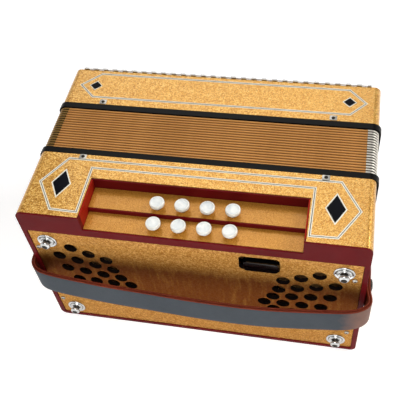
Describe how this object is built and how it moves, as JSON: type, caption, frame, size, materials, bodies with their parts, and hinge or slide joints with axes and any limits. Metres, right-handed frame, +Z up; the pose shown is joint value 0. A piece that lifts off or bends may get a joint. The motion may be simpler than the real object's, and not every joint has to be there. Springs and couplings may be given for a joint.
{
  "type": "diatonic button accordion",
  "caption": "Small diatonic button accordion on its back: gold glitter casings, stepped bass button recess, hand strap and folded bellows.",
  "frame": {"origin": "centre of the bass casing's back face, in the plane the instrument lies on", "axes": "+X along the casings, left to right in the picture; +Y from the bass end to the treble end; +Z up, out of the front with the bass buttons"},
  "size_m": [0.314, 0.271, 0.1742],
  "materials": {
    "celluloid": "gold glitter sheet, polished",
    "maroon_sheet": "dark red sheet, polished",
    "black_lacquer": "black lacquered wood, satin",
    "plain_wood": "bare planed wood",
    "pearl": "pearl white, polished",
    "lever_steel": "plated steel",
    "black_plastic": "black, polished",
    "chrome": "bright plated",
    "strap_leather": "blue-grey outside, red-brown edges",
    "bellows_cloth": "tan cloth over folded card",
    "grille_metal": "bright, pressed and pierced"
  },
  "bodies": {
    "bass_side": {"bass_casing": "celluloid", "bass_end_frame": "maroon_sheet", "bass_end_panel": "celluloid", "bass_step_board": "celluloid", "bass_pallet_board": "plain_wood", "bass_axle": "lever_steel", "foot_front_left": "chrome", "foot_front_right": "chrome", "foot_back_left": "chrome", "foot_back_right": "chrome", "hand_strap": "strap_leather", "strap_stud_left": "chrome", "strap_stud_right": "chrome", "bellows_frame_bass": "black_lacquer", "bellows_folds": "bellows_cloth"},
    "treble_side": {"bellows_frame_treble": "black_lacquer", "treble_casing": "celluloid", "treble_pallet_board": "plain_wood", "treble_reed_block": "plain_wood", "treble_axle": "lever_steel", "fingerboard": "maroon_sheet", "treble_grille": "grille_metal"},
    "bass_button_lower_1": {"bass_button_lower_1": "pearl"},
    "bass_button_upper_1": {"bass_button_upper_1": "pearl"},
    "bass_button_lower_2": {"bass_button_lower_2": "pearl"},
    "bass_button_upper_2": {"bass_button_upper_2": "pearl"},
    "bass_button_lower_3": {"bass_button_lower_3": "pearl"},
    "bass_button_upper_3": {"bass_button_upper_3": "pearl"},
    "bass_button_lower_4": {"bass_button_lower_4": "pearl"},
    "bass_button_upper_4": {"bass_button_upper_4": "pearl"},
    "bass_lever_lower_1": {"bass_lever_lower_1": "lever_steel"},
    "bass_lever_upper_1": {"bass_lever_upper_1": "lever_steel"},
    "bass_lever_lower_2": {"bass_lever_lower_2": "lever_steel"},
    "bass_lever_upper_2": {"bass_lever_upper_2": "lever_steel"},
    "bass_lever_lower_3": {"bass_lever_lower_3": "lever_steel"},
    "bass_lever_upper_3": {"bass_lever_upper_3": "lever_steel"},
    "bass_lever_lower_4": {"bass_lever_lower_4": "lever_steel"},
    "bass_lever_upper_4": {"bass_lever_upper_4": "lever_steel"},
    "air_key": {"air_key": "black_plastic"},
    "treble_key_inner_1": {"treble_key_inner_1": "pearl"},
    "treble_key_inner_2": {"treble_key_inner_2": "pearl"},
    "treble_key_inner_3": {"treble_key_inner_3": "pearl"},
    "treble_key_inner_4": {"treble_key_inner_4": "pearl"},
    "treble_key_inner_5": {"treble_key_inner_5": "pearl"},
    "treble_key_inner_6": {"treble_key_inner_6": "pearl"},
    "treble_key_inner_7": {"treble_key_inner_7": "pearl"},
    "treble_key_inner_8": {"treble_key_inner_8": "pearl"},
    "treble_key_inner_9": {"treble_key_inner_9": "pearl"},
    "treble_key_inner_10": {"treble_key_inner_10": "pearl"},
    "treble_key_outer_1": {"treble_key_outer_1": "pearl"},
    "treble_key_outer_2": {"treble_key_outer_2": "pearl"},
    "treble_key_outer_3": {"treble_key_outer_3": "pearl"},
    "treble_key_outer_4": {"treble_key_outer_4": "pearl"},
    "treble_key_outer_5": {"treble_key_outer_5": "pearl"},
    "treble_key_outer_6": {"treble_key_outer_6": "pearl"},
    "treble_key_outer_7": {"treble_key_outer_7": "pearl"},
    "treble_key_outer_8": {"treble_key_outer_8": "pearl"},
    "treble_key_outer_9": {"treble_key_outer_9": "pearl"},
    "treble_key_outer_10": {"treble_key_outer_10": "pearl"},
    "treble_key_outer_11": {"treble_key_outer_11": "pearl"}
  },
  "joints": [
    {"name": "bellows_pull", "type": "slide", "parent": "bass_side", "child": "treble_side", "axis": [0, 1, 0], "range_m": [0, 0.22], "deforming": ["bellows_folds"]},
    {"name": "bass_button_lower_1_press", "type": "slide", "parent": "bass_side", "child": "bass_button_lower_1", "axis": [0, 0, 1], "range_m": [-0.0022, 0], "stiffness_N_per_m": 100, "springref_m": 0.008},
    {"name": "bass_lever_lower_1_tilt", "type": "hinge", "parent": "bass_side", "child": "bass_lever_lower_1", "pos_m": [0, 0.01025, 0.066], "axis": [1, 0, 0], "range_deg": [0, 3.6]},
    {"name": "bass_button_upper_1_press", "type": "slide", "parent": "bass_side", "child": "bass_button_upper_1", "axis": [0, 0, 1], "range_m": [-0.0022, 0], "stiffness_N_per_m": 100, "springref_m": 0.008},
    {"name": "bass_lever_upper_1_tilt", "type": "hinge", "parent": "bass_side", "child": "bass_lever_upper_1", "pos_m": [0, 0.01025, 0.066], "axis": [1, 0, 0], "range_deg": [0, 7.4]},
    {"name": "bass_button_lower_2_press", "type": "slide", "parent": "bass_side", "child": "bass_button_lower_2", "axis": [0, 0, 1], "range_m": [-0.0022, 0], "stiffness_N_per_m": 100, "springref_m": 0.008},
    {"name": "bass_lever_lower_2_tilt", "type": "hinge", "parent": "bass_side", "child": "bass_lever_lower_2", "pos_m": [0, 0.01025, 0.066], "axis": [1, 0, 0], "range_deg": [0, 3.6]},
    {"name": "bass_button_upper_2_press", "type": "slide", "parent": "bass_side", "child": "bass_button_upper_2", "axis": [0, 0, 1], "range_m": [-0.0022, 0], "stiffness_N_per_m": 100, "springref_m": 0.008},
    {"name": "bass_lever_upper_2_tilt", "type": "hinge", "parent": "bass_side", "child": "bass_lever_upper_2", "pos_m": [0, 0.01025, 0.066], "axis": [1, 0, 0], "range_deg": [0, 7.4]},
    {"name": "bass_button_lower_3_press", "type": "slide", "parent": "bass_side", "child": "bass_button_lower_3", "axis": [0, 0, 1], "range_m": [-0.0022, 0], "stiffness_N_per_m": 100, "springref_m": 0.008},
    {"name": "bass_lever_lower_3_tilt", "type": "hinge", "parent": "bass_side", "child": "bass_lever_lower_3", "pos_m": [0, 0.01025, 0.066], "axis": [1, 0, 0], "range_deg": [0, 3.6]},
    {"name": "bass_button_upper_3_press", "type": "slide", "parent": "bass_side", "child": "bass_button_upper_3", "axis": [0, 0, 1], "range_m": [-0.0022, 0], "stiffness_N_per_m": 100, "springref_m": 0.008},
    {"name": "bass_lever_upper_3_tilt", "type": "hinge", "parent": "bass_side", "child": "bass_lever_upper_3", "pos_m": [0, 0.01025, 0.066], "axis": [1, 0, 0], "range_deg": [0, 7.4]},
    {"name": "bass_button_lower_4_press", "type": "slide", "parent": "bass_side", "child": "bass_button_lower_4", "axis": [0, 0, 1], "range_m": [-0.0022, 0], "stiffness_N_per_m": 100, "springref_m": 0.008},
    {"name": "bass_lever_lower_4_tilt", "type": "hinge", "parent": "bass_side", "child": "bass_lever_lower_4", "pos_m": [0, 0.01025, 0.066], "axis": [1, 0, 0], "range_deg": [0, 3.6]},
    {"name": "bass_button_upper_4_press", "type": "slide", "parent": "bass_side", "child": "bass_button_upper_4", "axis": [0, 0, 1], "range_m": [-0.0022, 0], "stiffness_N_per_m": 100, "springref_m": 0.008},
    {"name": "bass_lever_upper_4_tilt", "type": "hinge", "parent": "bass_side", "child": "bass_lever_upper_4", "pos_m": [0, 0.01025, 0.066], "axis": [1, 0, 0], "range_deg": [0, 7.4]},
    {"name": "air_key_press", "type": "hinge", "parent": "bass_side", "child": "air_key", "pos_m": [0.0602, -0.01175, 0.084], "axis": [1, 0, 0], "range_deg": [-4.5, 0], "stiffness_Nm_per_rad": 0.15, "springref_deg": 17.19},
    {"name": "treble_key_inner_1_press", "type": "hinge", "parent": "treble_side", "child": "treble_key_inner_1", "pos_m": [0, 0.12925, 0.08], "axis": [1, 0, 0], "range_deg": [-5.15, 0], "stiffness_Nm_per_rad": 0.12, "springref_deg": 14.32},
    {"name": "treble_key_inner_2_press", "type": "hinge", "parent": "treble_side", "child": "treble_key_inner_2", "pos_m": [0, 0.12925, 0.08], "axis": [1, 0, 0], "range_deg": [-5.15, 0], "stiffness_Nm_per_rad": 0.12, "springref_deg": 14.32},
    {"name": "treble_key_inner_3_press", "type": "hinge", "parent": "treble_side", "child": "treble_key_inner_3", "pos_m": [0, 0.12925, 0.08], "axis": [1, 0, 0], "range_deg": [-5.15, 0], "stiffness_Nm_per_rad": 0.12, "springref_deg": 14.32},
    {"name": "treble_key_inner_4_press", "type": "hinge", "parent": "treble_side", "child": "treble_key_inner_4", "pos_m": [0, 0.12925, 0.08], "axis": [1, 0, 0], "range_deg": [-5.15, 0], "stiffness_Nm_per_rad": 0.12, "springref_deg": 14.32},
    {"name": "treble_key_inner_5_press", "type": "hinge", "parent": "treble_side", "child": "treble_key_inner_5", "pos_m": [0, 0.12925, 0.08], "axis": [1, 0, 0], "range_deg": [-5.15, 0], "stiffness_Nm_per_rad": 0.12, "springref_deg": 14.32},
    {"name": "treble_key_inner_6_press", "type": "hinge", "parent": "treble_side", "child": "treble_key_inner_6", "pos_m": [0, 0.12925, 0.08], "axis": [1, 0, 0], "range_deg": [-5.15, 0], "stiffness_Nm_per_rad": 0.12, "springref_deg": 14.32},
    {"name": "treble_key_inner_7_press", "type": "hinge", "parent": "treble_side", "child": "treble_key_inner_7", "pos_m": [0, 0.12925, 0.08], "axis": [1, 0, 0], "range_deg": [-5.15, 0], "stiffness_Nm_per_rad": 0.12, "springref_deg": 14.32},
    {"name": "treble_key_inner_8_press", "type": "hinge", "parent": "treble_side", "child": "treble_key_inner_8", "pos_m": [0, 0.12925, 0.08], "axis": [1, 0, 0], "range_deg": [-5.15, 0], "stiffness_Nm_per_rad": 0.12, "springref_deg": 14.32},
    {"name": "treble_key_inner_9_press", "type": "hinge", "parent": "treble_side", "child": "treble_key_inner_9", "pos_m": [0, 0.12925, 0.08], "axis": [1, 0, 0], "range_deg": [-5.15, 0], "stiffness_Nm_per_rad": 0.12, "springref_deg": 14.32},
    {"name": "treble_key_inner_10_press", "type": "hinge", "parent": "treble_side", "child": "treble_key_inner_10", "pos_m": [0, 0.12925, 0.08], "axis": [1, 0, 0], "range_deg": [-5.15, 0], "stiffness_Nm_per_rad": 0.12, "springref_deg": 14.32},
    {"name": "treble_key_outer_1_press", "type": "hinge", "parent": "treble_side", "child": "treble_key_outer_1", "pos_m": [0, 0.12925, 0.08], "axis": [1, 0, 0], "range_deg": [-3.4, 0], "stiffness_Nm_per_rad": 0.12, "springref_deg": 14.32},
    {"name": "treble_key_outer_2_press", "type": "hinge", "parent": "treble_side", "child": "treble_key_outer_2", "pos_m": [0, 0.12925, 0.08], "axis": [1, 0, 0], "range_deg": [-3.4, 0], "stiffness_Nm_per_rad": 0.12, "springref_deg": 14.32},
    {"name": "treble_key_outer_3_press", "type": "hinge", "parent": "treble_side", "child": "treble_key_outer_3", "pos_m": [0, 0.12925, 0.08], "axis": [1, 0, 0], "range_deg": [-3.4, 0], "stiffness_Nm_per_rad": 0.12, "springref_deg": 14.32},
    {"name": "treble_key_outer_4_press", "type": "hinge", "parent": "treble_side", "child": "treble_key_outer_4", "pos_m": [0, 0.12925, 0.08], "axis": [1, 0, 0], "range_deg": [-3.4, 0], "stiffness_Nm_per_rad": 0.12, "springref_deg": 14.32},
    {"name": "treble_key_outer_5_press", "type": "hinge", "parent": "treble_side", "child": "treble_key_outer_5", "pos_m": [0, 0.12925, 0.08], "axis": [1, 0, 0], "range_deg": [-3.4, 0], "stiffness_Nm_per_rad": 0.12, "springref_deg": 14.32},
    {"name": "treble_key_outer_6_press", "type": "hinge", "parent": "treble_side", "child": "treble_key_outer_6", "pos_m": [0, 0.12925, 0.08], "axis": [1, 0, 0], "range_deg": [-3.4, 0], "stiffness_Nm_per_rad": 0.12, "springref_deg": 14.32},
    {"name": "treble_key_outer_7_press", "type": "hinge", "parent": "treble_side", "child": "treble_key_outer_7", "pos_m": [0, 0.12925, 0.08], "axis": [1, 0, 0], "range_deg": [-3.4, 0], "stiffness_Nm_per_rad": 0.12, "springref_deg": 14.32},
    {"name": "treble_key_outer_8_press", "type": "hinge", "parent": "treble_side", "child": "treble_key_outer_8", "pos_m": [0, 0.12925, 0.08], "axis": [1, 0, 0], "range_deg": [-3.4, 0], "stiffness_Nm_per_rad": 0.12, "springref_deg": 14.32},
    {"name": "treble_key_outer_9_press", "type": "hinge", "parent": "treble_side", "child": "treble_key_outer_9", "pos_m": [0, 0.12925, 0.08], "axis": [1, 0, 0], "range_deg": [-3.4, 0], "stiffness_Nm_per_rad": 0.12, "springref_deg": 14.32},
    {"name": "treble_key_outer_10_press", "type": "hinge", "parent": "treble_side", "child": "treble_key_outer_10", "pos_m": [0, 0.12925, 0.08], "axis": [1, 0, 0], "range_deg": [-3.4, 0], "stiffness_Nm_per_rad": 0.12, "springref_deg": 14.32},
    {"name": "treble_key_outer_11_press", "type": "hinge", "parent": "treble_side", "child": "treble_key_outer_11", "pos_m": [0, 0.12925, 0.08], "axis": [1, 0, 0], "range_deg": [-3.4, 0], "stiffness_Nm_per_rad": 0.12, "springref_deg": 14.32}
  ],
  "couplings": [
    {"joint": "bass_lever_lower_1_tilt", "follows": "bass_button_lower_1_press", "rad_per_m": -27.974},
    {"joint": "bass_lever_upper_1_tilt", "follows": "bass_button_upper_1_press", "rad_per_m": -56.98},
    {"joint": "bass_lever_lower_2_tilt", "follows": "bass_button_lower_2_press", "rad_per_m": -27.974},
    {"joint": "bass_lever_upper_2_tilt", "follows": "bass_button_upper_2_press", "rad_per_m": -56.98},
    {"joint": "bass_lever_lower_3_tilt", "follows": "bass_button_lower_3_press", "rad_per_m": -27.974},
    {"joint": "bass_lever_upper_3_tilt", "follows": "bass_button_upper_3_press", "rad_per_m": -56.98},
    {"joint": "bass_lever_lower_4_tilt", "follows": "bass_button_lower_4_press", "rad_per_m": -27.974},
    {"joint": "bass_lever_upper_4_tilt", "follows": "bass_button_upper_4_press", "rad_per_m": -56.98}
  ]
}
